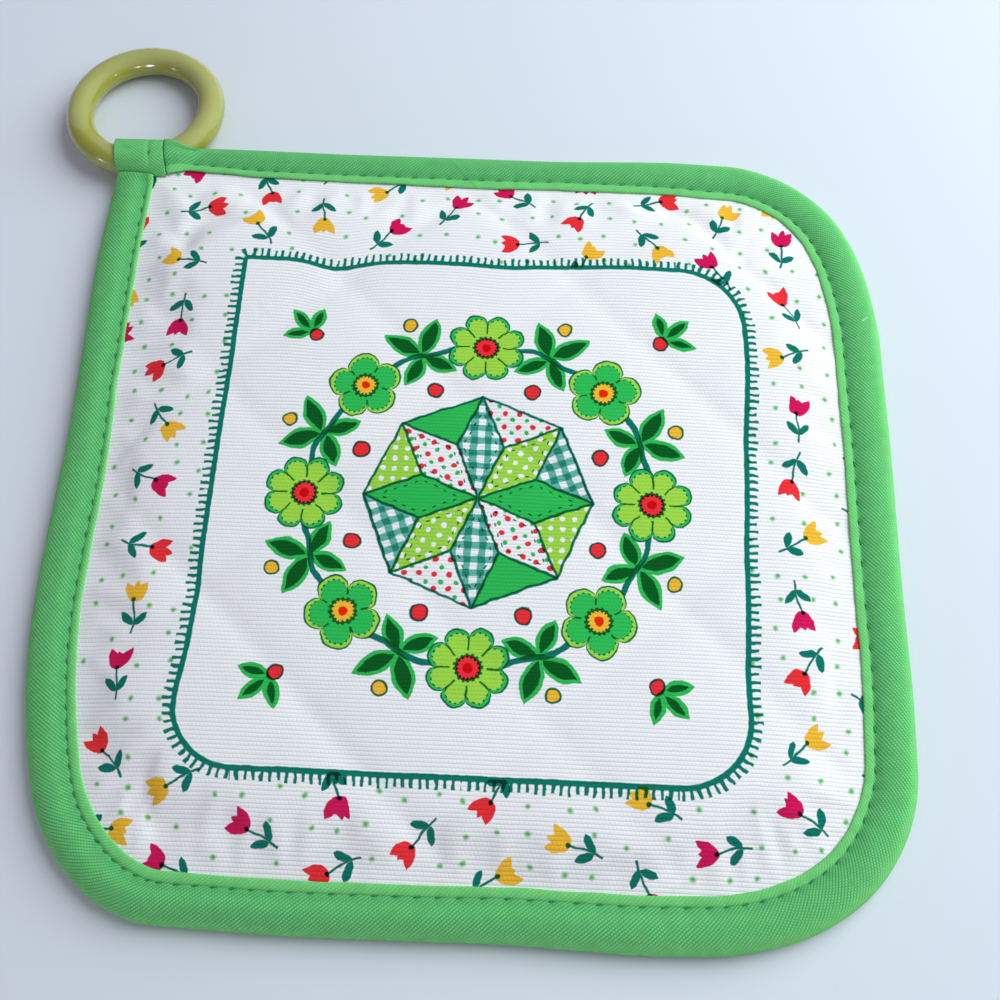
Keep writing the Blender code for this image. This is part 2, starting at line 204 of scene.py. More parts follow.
def pad_form(edge):
    """The face and the back as two grids whose rings follow the edge, joined round their rims."""
    insets, undersides, faces = np.array(PAD_PROFILE).T
    bearings = np.arctan2(edge[:, 1], edge[:, 0])
    reaches = np.hypot(*edge.T)
    order = np.argsort(bearings)
    mesh = bmesh.new()
    held = mesh.verts.layers.float.new("held")
    flat = mesh.verts.layers.float_vector.new("flat")
    for heights, is_face in ((undersides, False), (faces, True)):
        made = bmesh.ops.create_grid(mesh, x_segments=2 * PAD_ROWS, y_segments=2 * PAD_ROWS, size=1.0)
        for vertex in made["verts"]:
            ring = max(abs(vertex.co.x), abs(vertex.co.y))
            bearing = atan2(vertex.co.y, vertex.co.x)
            inset = insets[0] + (1.0 - ring) * (SIDE_LEFT - insets[0])
            reach = np.interp(bearing, bearings[order], reaches[order], period=2 * pi)
            scale = max(0.0, 1.0 - inset / SIDE_LEFT)
            x, y = reach * scale * cos(bearing), reach * scale * sin(bearing)
            from_ring = hypot(x - RING_X, y - RING_Y)
            if from_ring < PAD_KEEPS_OFF:
                x = RING_X + (x - RING_X) * PAD_KEEPS_OFF / from_ring
                y = RING_Y + (y - RING_Y) * PAD_KEEPS_OFF / from_ring
            distances = np.hypot(edge[:, 0] - x, edge[:, 1] - y)
            nearest = int(distances.argmin())
            true_inset = distances[nearest]
            height = np.interp(true_inset, insets, heights)
            if is_face:
                height += puckers(nearest * EDGE_STEP, true_inset) - quilting(x, y, true_inset)
                vertex[held] = 1.0 - eased(true_inset, HELD_INSET, FREE_INSET)
            else:
                vertex[held] = 1.0
            vertex.co = (x, y, height)
            vertex[flat] = (*on_flat_cloth(x, y), 0.0)
        if not is_face:
            bmesh.ops.reverse_faces(mesh, faces=mesh.faces[:])
            for face in mesh.faces:
                face.material_index = 1
    rims = [each for each in mesh.edges if each.is_boundary]
    bmesh.ops.bridge_loops(mesh, edges=rims)
    bmesh.ops.recalc_face_normals(mesh, faces=mesh.faces[:])
    cloth = mesh.loops.layers.uv.new("cloth")
    for face in mesh.faces:
        for corner in face.loops:
            corner[cloth].uv = corner.vert[flat][:2]
    return mesh


def placed(mesh, name, *finishes):
    """Puts a finished bmesh into the scene as a smooth object with its materials."""
    data = bpy.data.meshes.new(name)
    mesh.to_mesh(data)
    mesh.free()
    data.shade_smooth()
    made = bpy.data.objects.new(name, data)
    for finish in finishes:
        data.materials.append(finish)
    scene.collection.objects.link(made)
    return made


SWELL_SETTINGS = {
    "quality": 6, "mass": 0.2, "tension_stiffness": 20.0, "compression_stiffness": 20.0,
    "shear_stiffness": 10.0, "bending_stiffness": 0.3, "use_pressure": True,
    "uniform_pressure_force": 4.0, "shrink_min": -0.02,
}
SWELL_FRAMES, SWELL_MOST, SWELL_FLOOR = 20, 0.0012, 0.0001


def swell(made, hold):
    """Blows the sewn form up as cloth. Points stay put where hold is 1, and none moves far."""
    group = made.vertex_groups.new(name="held")
    for index, weight in enumerate(hold):
        group.add([index], weight, "REPLACE")
    cloth = made.modifiers.new("Swelling", "CLOTH")
    for name, value in SWELL_SETTINGS.items():
        setattr(cloth.settings, name, value)
    cloth.settings.effector_weights.gravity = 0.0
    cloth.settings.vertex_group_mass = group.name
    cloth.point_cache.frame_start = 1
    cloth.point_cache.frame_end = SWELL_FRAMES
    for step in range(1, SWELL_FRAMES + 1):
        scene.frame_set(step)
    graph = bpy.context.evaluated_depsgraph_get()
    swollen = [vertex.co.copy() for vertex in made.evaluated_get(graph).data.vertices]
    made.modifiers.remove(cloth)
    made.vertex_groups.remove(group)
    for vertex, goal in zip(made.data.vertices, swollen):
        move = goal - vertex.co
        if move.length > SWELL_MOST:
            move *= SWELL_MOST / move.length
        vertex.co += move
        vertex.co.z = max(vertex.co.z, SWELL_FLOOR)
    scene.frame_set(1)


def smoothed(made, levels):
    """Finishes a piece with a live subdivision, the same on screen and in the render."""
    finish = made.modifiers.new("Smooth", "SUBSURF")
    finish.levels = levels
    finish.render_levels = levels


def maths(operation, swapped=False):
    """A method that adds one Math node; a swapped one takes its own value last."""

    def method(self, *others):
        terms = (*others, self) if swapped else (self, *others)
        return self.node("Math", {"operation": operation}, dict(enumerate(terms)))

    return method


BLUR = 0.16  # the softness of a printed edge, in millimetres


class Paint:
    """A value, colour or vector in a material's nodes. Arithmetic on values adds Math nodes."""

    __add__, __radd__ = maths("ADD"), maths("ADD", True)
    __sub__, __rsub__ = maths("SUBTRACT"), maths("SUBTRACT", True)
    __mul__, __rmul__ = maths("MULTIPLY"), maths("MULTIPLY", True)
    __truediv__, __abs__ = maths("DIVIDE"), maths("ABSOLUTE")
    lower, higher = maths("MINIMUM"), maths("MAXIMUM")
    lower_softly, equals = maths("SMOOTH_MIN"), maths("COMPARE")
    above, below = maths("GREATER_THAN"), maths("LESS_THAN")
    floor, rounded, modulo = maths("FLOOR"), maths("ROUND"), maths("MODULO")
    root, power, sign = maths("SQRT"), maths("POWER"), maths("SIGN")
    sine, cosine, bearing = maths("SINE"), maths("COSINE"), maths("ARCTAN2")

    def __init__(self, tree, socket=None):
        self.tree = tree
        self.socket = socket

    def node(self, kind, settings=None, inputs=None, output=0):
        """Adds a node: first its settings are made, then its sockets take numbers or other values."""
        made = self.tree.nodes.new("ShaderNode" + kind)
        for name, setting in (settings or {}).items():
            setattr(made, name, setting)
        for name, value in (inputs or {}).items():
            self.into(made.inputs[name], value)
        return Paint(self.tree, made.outputs[output])

    def into(self, socket, value):
        """Sets a socket to a number or a colour, or links it to another node's value."""
        if isinstance(value, Paint):
            self.tree.links.new(value.socket, socket)
        else:
            socket.default_value = value

    def far(self, start, end):
        """0 below start, 1 above end, eased between."""
        sockets = {"Value": self, "From Min": start, "From Max": end}
        return self.node("MapRange", {"interpolation_type": "SMOOTHSTEP"}, sockets)

    def inked(self, blur=BLUR):
        """1 where this distance is below zero, 0 above, with a soft edge."""
        settings = {"operation": "MULTIPLY_ADD", "use_clamp": True}
        return self.node("Math", settings, {0: self, 1: -1.0 / blur, 2: 0.5})

    def when(self, under, over):
        """Under where this is 0, over where it is 1, for values."""
        return self.node("Mix", {"data_type": "FLOAT"}, {0: self, 2: under, 3: over})

    def printed(self, under, ink):
        """The ink multiplied on the colour under it, where this is 1."""
        settings = {"data_type": "RGBA", "blend_type": "MULTIPLY"}
        return self.node("Mix", settings, {0: self, 6: under, 7: ink}, output=2)

    def covered(self, under, over):
        """One colour laid over another where this is 1."""
        return self.node("Mix", {"data_type": "RGBA"}, {0: self, 6: under, 7: over}, output=2)

    def parts(self):
        """The three parts of a vector."""
        split = self.node("SeparateXYZ", None, {0: self})
        outputs = split.socket.node.outputs
        return [Paint(self.tree, outputs[index]) for index in range(3)]


def vector(x, y, z=0.0):
    source = x if isinstance(x, Paint) else y
    return source.node("CombineXYZ", None, {0: x, 1: y, 2: z})


def length(x, y):
    return (x * x + y * y).root()


def turned(x, y, angle):
    """A place's parts along and across a direction given by an angle."""
    if isinstance(angle, Paint):
        cosine, sine = angle.cosine(), angle.sine()
    else:
        cosine, sine = cos(angle), sin(angle)
    return x * cosine + y * sine, y * cosine - x * sine


CLOTH_SHOWN = (232, 232, 238)  # the white cloth, on a screen


def linear(part):
    """One part of a colour read on a screen, 0 to 255, as the light it stands for."""
    return part / 3294.6 if part <= 10 else ((part / 255 + 0.055) / 1.055) ** 2.4


def ink(*shown):
    """What an ink lets through, from its colour on the white cloth."""
    return (*(min(1.0, linear(part) / linear(cloth)) for part, cloth in zip(shown, CLOTH_SHOWN)), 1.0)


def new_material(name):
    """An empty node material: its start, and the shader that is fed."""
    made = bpy.data.materials.new(name)
    made.use_nodes = True
    shader = made.node_tree.nodes["Principled BSDF"]
    return made, Paint(made.node_tree), shader


def feed(start, shader, **sockets):
    """Sets the shader's sockets or links them to values; underscores stand for spaces."""
    for name, value in sockets.items():
        start.into(shader.inputs[name.replace("_", " ")], value)


def cloth_place(start, layer):
    """A cloth's own flat coordinates in millimetres."""
    flat = start.node("UVMap", {"uv_map": layer})
    scaled = flat.node("VectorMath", {"operation": "SCALE"}, {0: flat, "Scale": 1000.0})
    return scaled.parts()[:2]


def mottle(x, y, scale, detail, output=0):
    """Slow unevenness over a flat cloth."""
    sockets = {"Vector": vector(x, y), "Scale": scale, "Detail": detail}
    return x.node("TexNoise", {"noise_dimensions": "2D"}, sockets, output)


def draw(column, row, output=0):
    """A random draw for each cell of a net."""
    sockets = {"Vector": vector(column, row)}
    return column.node("TexWhiteNoise", {"noise_dimensions": "2D"}, sockets, output)


RIB_PITCH, COLUMN_PITCH, COLUMN_SHIFT = 0.84, 0.79, 0.46
COTTON_WHITE = (0.86, 0.845, 0.86, 1.0)
RIB_SHADE = (0.71, 0.68, 0.75, 1.0)
COTTON_SHEEN = {"Roughness": 0.9, "Specular_IOR_Level": 0.2}


def in_cell(place):
    """How far a place lies from the middle of its cell, in cells."""
    return place - place.floor() - 0.5


def in_weave(across, along, shift):
    """How far a place lies from the middle of its thread and of its stretch of it, 0 to 1."""
    from_thread = abs(in_cell(across)) * 2.0
    return from_thread, abs(in_cell(along + across.floor() * shift)) * 2.0


def cotton_ground(x, y):
    """Unprinted cotton: its colour, with painted shade between its cross ribs, and the height of its weave.
    """
    from_rib, from_column = in_weave(y / RIB_PITCH, x / COLUMN_PITCH, COLUMN_SHIFT)
    gap, notch = from_rib.far(0.52, 1.0), from_column.far(0.55, 1.0)
    height = (1.0 - from_rib * from_rib) * (1.0 - 0.35 * notch)
    slubs = mottle(x * 0.25, y * 1.2, 1.0, 3.0)
    shade = (gap * (0.55 + 0.6 * slubs) + notch * (1.0 - gap) * 0.22).lower(1.0)
    return shade.covered(COTTON_WHITE, RIB_SHADE), height


WEAVE_DEPTH = 0.00016


def weave_bump(height, strength):
    sockets = {"Strength": strength, "Distance": WEAVE_DEPTH, "Height": height}
    return height.node("Bump", None, sockets)


# The printed frame line and its ticks, in millimetres on the flat cloth.
FRAME_LEFT, FRAME_RIGHT, FRAME_TOP, FRAME_BOTTOM = -54.2, 57.0, 55.6, -59.2
TOP_CORNERS, BOTTOM_CORNERS = (0.01, 14.0), (11.0, 14.0)  # radii, left and right
FRAME_LINE, TICK_LENGTH, TICK_WIDTH, TICK_PITCH = 1.15, 1.80, 0.72, 1.60
TICK_FILLET, TICK_SLANT, TICK_TAPER = 0.30, 0.05, 0.03
WANDER_SCALE, WANDER_ALONG, WANDER_EDGE = 0.55, 0.65, 0.25
MIDDLE_X, MIDDLE_Y = (FRAME_LEFT + FRAME_RIGHT) / 2, (FRAME_TOP + FRAME_BOTTOM) / 2

TEAL = ink(0, 112, 98)
EMERALD = ink(42, 178, 82)
LIME = ink(150, 205, 70)
RED = ink(226, 45, 52)
CRIMSON = ink(202, 16, 84)
AMBER = ink(238, 178, 52)
DOT_GREEN = ink(138, 202, 138)
DOT_HEART = ink(96, 172, 104)
HALO = (0.74, 0.86, 0.86, 1.0)


def frame_distances(x, y):
    """How far a place lies outside the printed frame's inner edge, and how far round it."""
    dx, dy = x - MIDDLE_X, y - MIDDLE_Y
    right, above = dx.above(0.0), dy.above(0.0)
    radius = above.when(right.when(*BOTTOM_CORNERS), right.when(*TOP_CORNERS))
    inner_x = abs(dx) - (FRAME_RIGHT - FRAME_LEFT) / 2 + radius
    inner_y = abs(dy) - (FRAME_TOP - FRAME_BOTTOM) / 2 + radius
    out_x, out_y = inner_x.higher(0.0), inner_y.higher(0.0)
    distance = inner_x.higher(inner_y).lower(0.0) + length(out_x, out_y) - radius
    turn = out_y.bearing(out_x)
    beside = inner_x.above(inner_y)
    straight = beside.when(abs(dx), abs(dy))
    in_corner = (out_x * out_y).above(0.0001)
    round_corner = (FRAME_TOP - FRAME_BOTTOM) / 2 - radius + turn * (radius + 1.5)
    return distance, in_corner.when(straight, round_corner)


def frame_ink(x, y):
    """The frame line, thickened at its foot, with uneven ticks that stand outwards."""
    distance, along = frame_distances(x, y)
    jolt = mottle(x, y, WANDER_SCALE, 1.0) - 0.5
    step = (along + jolt * WANDER_ALONG + distance * TICK_SLANT) / TICK_PITCH
    tick = step.rounded()
    taper = (distance - FRAME_LINE) * TICK_TAPER
    across = abs(step - tick) * TICK_PITCH - TICK_WIDTH / 2 + taper
    reach = x.node("TexWhiteNoise", {"noise_dimensions": "1D"}, {"W": tick + 0.2})
    end = distance - (FRAME_LINE + TICK_LENGTH - 0.3) - reach * 0.6
    ticks = across.higher(end).higher(0.2 - distance)
    line = abs(distance - FRAME_LINE / 2) - FRAME_LINE / 2
    return distance, line.lower_softly(ticks, TICK_FILLET) + jolt * WANDER_EDGE


# The scattered sprigs: one in each cell of a grid whose every other column is dropped by half.
SPRIG_COLUMN, SPRIG_ROW, SPRIG_STRAY = 15.1, 14.2, 2.6
SPRIG_CLEAR = 1.6  # a sprig whose middle is nearer to the frame than this is left out
DOT_SPACING, DOT_STRAY, DOT_RADIUS = 6.1, 2.4, 0.56


def sprig_cell(x, y):
    """A place along and across its cell's sprig, the cell's draw and number, the sprig's middle."""
    column = (x / SPRIG_COLUMN).floor()
    line = y / SPRIG_ROW + column * 0.5
    row = line.floor()
    stray_x, stray_y, kind = draw(column, row, output=1).parts()
    turn = draw(column + 7.3, row)
    from_x = x - (column + 0.5) * SPRIG_COLUMN - (stray_x - 0.5) * SPRIG_STRAY
    from_y = (line - row - 0.5) * SPRIG_ROW - (stray_y - 0.5) * SPRIG_STRAY
    along, across = turned(from_x, from_y, turn * tau)
    return along, across, kind, column * 2.0 + row, (x - from_x, y - from_y)


def leaf(along, across, reach, half_width, fullness=2.0):
    """The distance from an almond leaf that starts at zero and ends at reach."""
    share = abs(along / (reach / 2) - 1.0)
    return abs(across) + half_width * share.power(fullness) - half_width


def sprig_shapes(along, across, chance):
    """The distances from a tulip's head and from its stem and leaves, with its middle at zero."""
    lean = in_cell(chance * 9.7)
    depth = chance * 5.3 - (chance * 5.3).floor()
    above_base = along - 1.15
    flare = across.sign() * lean * 0.40 + 0.50
    out, side = turned(above_base, abs(across), flare)
    petals = leaf(out, side, 4.9, 1.10)
    bowl = length(above_base - 1.70, across * 0.93) - 1.78
    middle_petal = leaf(above_base - 0.8, across, 2.6 + 1.9 * depth, 0.90)
    head = petals.lower(bowl).lower(middle_petal)
    bend = (along * 0.5).sine() * 0.35
    stem = (abs(across - bend) - 0.25).higher(abs(along + 1.85) - 3.6)
    knob = length(along - 1.5, across - 0.25) - 0.50
    out, side = turned(along + 3.6, abs(across + 0.15), 0.78 + 0.3 * lean)
    leaves = leaf(out, side, 3.9, 0.80, 3.0)
    return head, stem.lower(leaves).lower(knob)


def scatter_inks(colour, x, y, outside):
    """Sprigs in three colours and pin dots between them, outside the frame only."""
    along, across, chance, number, middle = sprig_cell(x, y)
    from_frame, _ = frame_distances(*middle)
    whole = from_frame.above(SPRIG_CLEAR) * outside
    head, green = sprig_shapes(along, across, chance)
    head = head.inked() * whole
    kind = number - (number / 3.0).floor() * 3.0
    is_red, is_crimson = kind.above(0.5), kind.above(1.5)
    petals = is_crimson.covered(is_red.covered(AMBER, RED), CRIMSON)
    colour = head.printed(colour, petals)
    colour = (green.inked() * whole).printed(colour, TEAL)
    dot_x, dot_y = (x / DOT_SPACING).floor(), (y / DOT_SPACING).floor()
    stray_x, stray_y, chance = draw(dot_x, dot_y + 3.7, output=1).parts()
    middle_x = (dot_x + 0.5) * DOT_SPACING + (stray_x - 0.5) * DOT_STRAY
    middle_y = (dot_y + 0.5) * DOT_SPACING + (stray_y - 0.5) * DOT_STRAY
    near_along, near_across, *_ = sprig_cell(middle_x, middle_y)
    clear = length((abs(near_along) - 3.6).higher(0.0), near_across).above(3.1)
    from_dot = length(x - middle_x, y - middle_y)
    keep = clear * outside * chance.above(0.08)
    colour = ((from_dot - DOT_RADIUS).inked(0.5) * keep).printed(colour, DOT_GREEN)
    return ((from_dot - DOT_RADIUS * 0.45).inked(0.5) * keep * 0.8).printed(colour, DOT_HEART)


# The middle: a patchwork star in its eight-sided ground, with a wreath of flowers, leaves and berries.
STAR_REACH, WREATH_RADIUS, WREATH_STEM = 24.0, 36.4, 1.3
SECTOR = tau / 8
OUTLINE, BERRY_RIM, LEAF_BORDER = 0.60, 0.44, 0.85
CORNER_SPRIG_X, CORNER_SPRIG_Y = 38.5, 39.5
BERRIES = ((1.7, 27.4, RED), (1.5, 44.6, AMBER))  # radius, distance from the middle, ink
OUTER_LEAF, INNER_LEAF, CORNER_LEAF, CORNER_SIDE_LEAF = (10.2, 2.35), (8.6, 2.1), (7.6, 1.7), (7.0, 1.6)
# The two kinds of flower: radius between petals, length of a petal, half as many petals.
FLOWER_RADII, PETAL_LENGTHS, PETAL_HALVES = (6.3, 5.1), (2.2, 2.8), (4.0, 2.5)
PETAL_BORDER, HEART_RADIUS, EYE_RADIUS = 0.95, 2.5, 1.0
PATCH_TEAL = ink(92, 172, 160)


def stamp(colour, shape, paint=TEAL):
    """Prints a shape, given by the distance from it, in one ink."""
    return shape.inked().printed(colour, paint)


def in_sector(x, y, first):
    """A place turned to the nearest of eight directions: along it, across it, and which it is."""
    sector = ((y.bearing(x) - first) / SECTOR).rounded()
    along, across = turned(x, y, sector * SECTOR + first)
    return along, across, sector


def bands(place, pitch):
    """Even bands along one direction."""
    return ((abs(in_cell(place / pitch)) - 0.25) * pitch).inked(0.2)


def spots(x, y, pitch, radius):
    """Round spots at the corners of a square net."""
    return (length(in_cell(x / pitch), in_cell(y / pitch)) * pitch - radius).inked()


def patch_cloths(colour, x, y, chosen):
    """Plain green, spotted lime, checked teal and berried white, each where its own value is 1."""
    plain, spotted, gingham, berried = chosen
    slant_x, slant_y = turned(x, y, radians(22))
    colour = plain.printed(colour, EMERALD)
    colour = (spotted * (1.0 - spots(slant_x, slant_y, 2.4, 0.56))).printed(colour, LIME)
    colour = (gingham * bands(x, 3.0)).printed(colour, PATCH_TEAL)
    colour = (gingham * bands(y, 3.0)).printed(colour, PATCH_TEAL)
    colour = (berried * spots(slant_x, slant_y, 3.1, 0.62)).printed(colour, RED)
    return (berried * spots(slant_x + 1.4, slant_y + 1.7, 3.1, 0.5)).printed(colour, EMERALD)


def chosen_of_four(sector, inside, shift):
    """For each of four cloths, 1 in the sectors that it fills."""
    number = (sector + 8.0 + shift).modulo(4.0)
    return [number.equals(kind, 0.4) * inside for kind in range(4)]


def star_inks(colour, x, y):
    """Eight long patches that meet in the middle, and eight short ones between their tips."""
    along, across, sector = in_sector(x, y, 0.0)
    slope = tan(SECTOR / 2)
    patch = (abs(across) - slope * along.lower(STAR_REACH - along)) * cos(SECTOR / 2)
    between, beside, gap_sector = in_sector(x, y, SECTOR / 2)
    ground = between - STAR_REACH * cos(SECTOR / 2)
    colour = patch_cloths(colour, along, across, chosen_of_four(sector, patch.inked(), 0.0))
    in_gap = ground.higher(patch * -1.0).inked()
    colour = patch_cloths(colour, between, beside, chosen_of_four(gap_sector, in_gap, 2.0))
    colour = stamp(colour, (abs(patch + 1.25) - 0.16).higher(0.45 - (along * 3.0).sine()))
    colour = stamp(colour, (abs(patch) - OUTLINE / 2).higher(ground))
    return stamp(colour, abs(ground) - OUTLINE / 2)


def berry_ink(colour, berry, paint):
    """A berry with a dark rim."""
    return stamp(stamp(colour, berry, paint), abs(berry) - BERRY_RIM / 2)


def berry_ring(colour, x, y, radius, ring, paint):
    """Eight round berries set in a ring."""
    along, across, _ = in_sector(x, y, SECTOR / 2)
    return berry_ink(colour, length(along - ring, across) - radius, paint)


def leaf_inks(colour, leaves):
    """Leaves with a bright green border round a dark middle."""
    return stamp(stamp(colour, leaves, EMERALD), leaves + LEAF_BORDER)


def fresh_ink(colour, shape, kinds, first, second):
    """Blanks a shape out and prints it anew, in the one ink or the other by its kind, 0 or 1."""
    blank = shape.covered(colour, COTTON_WHITE)
    return shape.printed(blank, kinds.covered(first, second))


def wreath_inks(colour, x, y):
    """A round stem with paired leaves, and two kinds of flower by turns."""
    radius = length(x, y)
    angle = y.bearing(x)
    colour = stamp(colour, abs(radius - WREATH_RADIUS - (angle * 16.0).sine() * 0.5) - WREATH_STEM / 2)
    along, across, _ = in_sector(x, y, SECTOR / 2)
    out, side = turned(along - WREATH_RADIUS, abs(across) + 0.3, radians(40))
    outer = leaf(out, side, *OUTER_LEAF)
    out, side = turned(WREATH_RADIUS - along, abs(across) + 0.3, radians(46))
    inner = leaf(out, side, *INNER_LEAF)
    colour = leaf_inks(colour, outer.lower(inner))
    along, across, sector = in_sector(x, y, 0.0)
    even = (sector + 8.0).modulo(2.0)
    petal_angle = across.bearing(along - WREATH_RADIUS)
    from_flower = length(along - WREATH_RADIUS, across)
    lobes = even.when(*PETAL_HALVES)
    fold = abs((petal_angle * lobes).sine())
    edge = even.when(*FLOWER_RADII) + fold.power(0.55) * even.when(*PETAL_LENGTHS)
    petals = from_flower - edge
    colour = fresh_ink(colour, petals.inked(), even, EMERALD, LIME)
    colour = fresh_ink(colour, (petals + PETAL_BORDER).inked(), even, LIME, EMERALD)
    split = (from_flower * fold / lobes - 0.20).higher(3.6 - from_flower).higher(petals + 0.5)
    colour = stamp(colour, split)
    colour = stamp(colour, (abs(petals + PETAL_BORDER) - 0.17).higher(0.2 - (petal_angle * 40.0).sine()))
    colour = stamp(colour, abs(petals) - 0.20)
    heart = from_flower - HEART_RADIUS
    colour = fresh_ink(colour, heart.inked(), even, RED, AMBER)
    rays = (abs(heart) - 0.5).higher(-0.1 - (petal_angle * 16.0).sine()).lower(abs(heart) - 0.22)
    colour = stamp(colour, rays)
    return (from_flower - EYE_RADIUS).inked().printed(colour, even.covered(CRIMSON, RED))


def corner_inks(colour, x, y):
    """A sprig of three leaves with a berry, in each corner of the frame."""
    out, side = turned(abs(x) - CORNER_SPRIG_X, abs(y) - CORNER_SPRIG_Y, radians(45))
    middle = leaf(out, side, *CORNER_LEAF)
    tip, beside = turned(out, abs(side), radians(58))
    colour = leaf_inks(colour, middle.lower(leaf(tip, beside, *CORNER_SIDE_LEAF)))
    return berry_ink(colour, length(out + 1.1, side) - 1.5, RED)


def printed_cotton():
    """White ribbed cotton with the frame, the scattered sprigs outside it and the star inside it."""
    made, start, shader = new_material("printed_cotton")
    x, y = cloth_place(start, "cloth")
    ground, height = cotton_ground(x, y)
    shake = mottle(x, y, 0.30, 3.0, output=1).parts()
    shaken_x, shaken_y = x + (shake[0] - 0.5) * 0.9, y + (shake[1] - 0.5) * 0.9
    distance, line = frame_ink(x, y)
    outside = (0.5 - distance).inked()
    ground = (line.inked(1.3) * 0.8).covered(ground, HALO)
    colour = stamp(scatter_inks(ground, shaken_x, shaken_y, outside), line)
    star_x, star_y = shaken_x - MIDDLE_X, shaken_y - MIDDLE_Y
    inside = (distance + 0.5).inked()
    middle = star_inks(colour, star_x, star_y)
    middle = wreath_inks(middle, star_x, star_y)
    for berries in BERRIES:
        middle = berry_ring(middle, star_x, star_y, *berries)
    middle = corner_inks(middle, star_x, star_y)
    colour = inside.covered(colour, middle)
    feed(start, shader, Base_Color=colour, Normal=weave_bump(height, 0.5), **COTTON_SHEEN)
    return made


def plain_cotton():
    """The same cotton without a print, for the back."""
    made, start, shader = new_material("plain_cotton")
    x, y = cloth_place(start, "cloth")
    ground, height = cotton_ground(x, y)
    feed(start, shader, Base_Color=ground, Normal=weave_bump(height, 0.5), **COTTON_SHEEN)
    return made


edge = edge_line()
pad = placed(pad_form(edge), "padded_cotton", printed_cotton(), plain_cotton())
hold = [entry.value for entry in pad.data.attributes["held"].data]
for layer in ("held", "flat"):
    pad.data.attributes.remove(pad.data.attributes[layer])
swell(pad, hold)
smoothed(pad, 1)
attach(pad, "root")
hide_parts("pad")

# ------------------------
# The binding: one bias-cut cotton tape folded over the edge and sewn through near its inner lips.
# It puffs over the filling, dips at each stitch and rides over the ring where it starts.
TAPE_THICKNESS = 0.0006
BINDING_START_X, BINDING_END_Y = -0.0779, 0.0808
BINDING_SLIT, BINDING_ROW = 0.0085, 0.0013
FIRST_STITCH, LAST_STITCH = 0.0022, 0.0015  # from the tape's two ends
# How far the tape reaches in over the face, by bearing in degrees.
BINDING_WIDTHS = (
    (-180, 0.0104), (-150, 0.0104), (-132, 0.0103), (-120, 0.0096), (-90, 0.0097), (-67, 0.0104),
    (-45, 0.0106), (-37, 0.0109), (-20, 0.0102), (0, 0.0104), (15, 0.0106), (45, 0.0108), (60, 0.0108),
    (75, 0.0096), (80, 0.0092), (90, 0.0096), (105, 0.0092), (122, 0.0088), (126.5, 0.0080),
    (128.6, 0.0075), (129.4, 0.0076), (130.2, 0.0083), (131.0, 0.0092), (134.5, 0.0092), (137, 0.0096),
    (150, 0.0100), (165, 0.0095), (175, 0.0101),
)
# The seam near the tape's inner lip, by bearing: (bearing, how far the lip reaches past it, stitch pitch).
BINDING_SEAM = (
    (-180, 0.0014, 0.0039), (-150, 0.0019, 0.0034), (-132, 0.0023, 0.0033), (-90, 0.0021, 0.0042),
    (-45, 0.0021, 0.0043), (0, 0.0020, 0.0045), (45, 0.0021, 0.0043), (90, 0.0023, 0.0041),
    (128, 0.0018, 0.0040), (142, 0.0013, 0.0040), (180, 0.0014, 0.0039),
)
TAPE_RADIUS = RING_TUBE + 0.0001 + TAPE_THICKNESS / 2
RING_RAISED, RING_LOW = 0.0048, 0.0035
# Beside the ring the tapes lean to the left as they leave the pad.
CORNER_LEAN, CORNER_LEAN_REACH, CORNER_Y = -0.14, 0.015, 0.0811


def ring_line_height(y):
    """The height of the middle of the ring's tube, which falls from the loop to the far side."""
    share = (y - (RING_Y - RING_RADIUS)) / (2 * RING_RADIUS)
    return RING_RAISED + share * (RING_LOW - RING_RAISED)


def over_ring(x, y, height):
    """A tape's height, raised where it lies over the ring and slopes off its tube at 45 degrees."""
    distance = abs(hypot(x - RING_X, y - RING_Y) - RING_RADIUS)
    if distance < TAPE_RADIUS * sqrt(0.5):
        above_tube = sqrt(TAPE_RADIUS**2 - distance**2)
    else:
        above_tube = TAPE_RADIUS * sqrt(2.0) - distance
    return max(height, ring_line_height(y) + above_tube)


def leaning(x, y):
    """A place's X beside the corner, where the tapes lean as they leave the pad."""
    fade = max(0.0, 1.0 - max(0.0, x - BINDING_START_X) / CORNER_LEAN_REACH)
    return x + CORNER_LEAN * max(0.0, y - CORNER_Y) * fade


def face_facts(x, y):
    """The tape's width, lip and stitch pitch at a place on the edge."""
    bearing = degrees(atan2(y, x))
    return [
        np.interp(bearing, np.array(table)[:, 0], np.array(table)[:, column], period=360)
        for table, column in ((BINDING_WIDTHS, 1), (BINDING_SEAM, 1), (BINDING_SEAM, 2))
    ]


# The tape's fold starts at the lip: (distance out from its edge, height, how far a stitch pulls).
LIP_FOLD = ((0.0, 0.00034, 0.00006), (0.0005, 0.00048, 0.00008))
# Across the seam, outwards: (distance in past it, height, height that puffs, how far a stitch pulls).
SEAM_FOLD = (
    (0.0008, 0.00045, 0.0, 0.00008), (0.00035, 0.00032, 0.0, 0.00014), (0.0, 0.00016, 0.0, 0.00026),
    (-0.0004, 0.00032, 0.0, 0.00018), (-0.0010, 0.0, 0.00058, 0.00012), (-0.0020, 0.0, 0.00088, 0.00006),
)
# Round the rim, from face to back: (distance in, height).
RIM_FOLD = (
    (0.0017, 0.0048), (0.0009, 0.0041), (0.0003, 0.0034), (0.0, 0.0025), (0.0003, 0.0016),
    (0.0009, 0.0010), (0.0017, 0.00055), (0.0028, 0.00038),
)
# Under the pad: (distance in past the seam, height), and (distance out from the back lip, height).
BACK_FOLD = ((-0.0020, 0.00038), (-0.0007, 0.00042), (0.0, 0.00075), (0.0006, 0.00042))
BACK_LIP = ((0.0004, 0.00038), (0.0, 0.00045))
SEAM_HEIGHT, STITCH_DIP_REACH = 0.0043, 0.0009


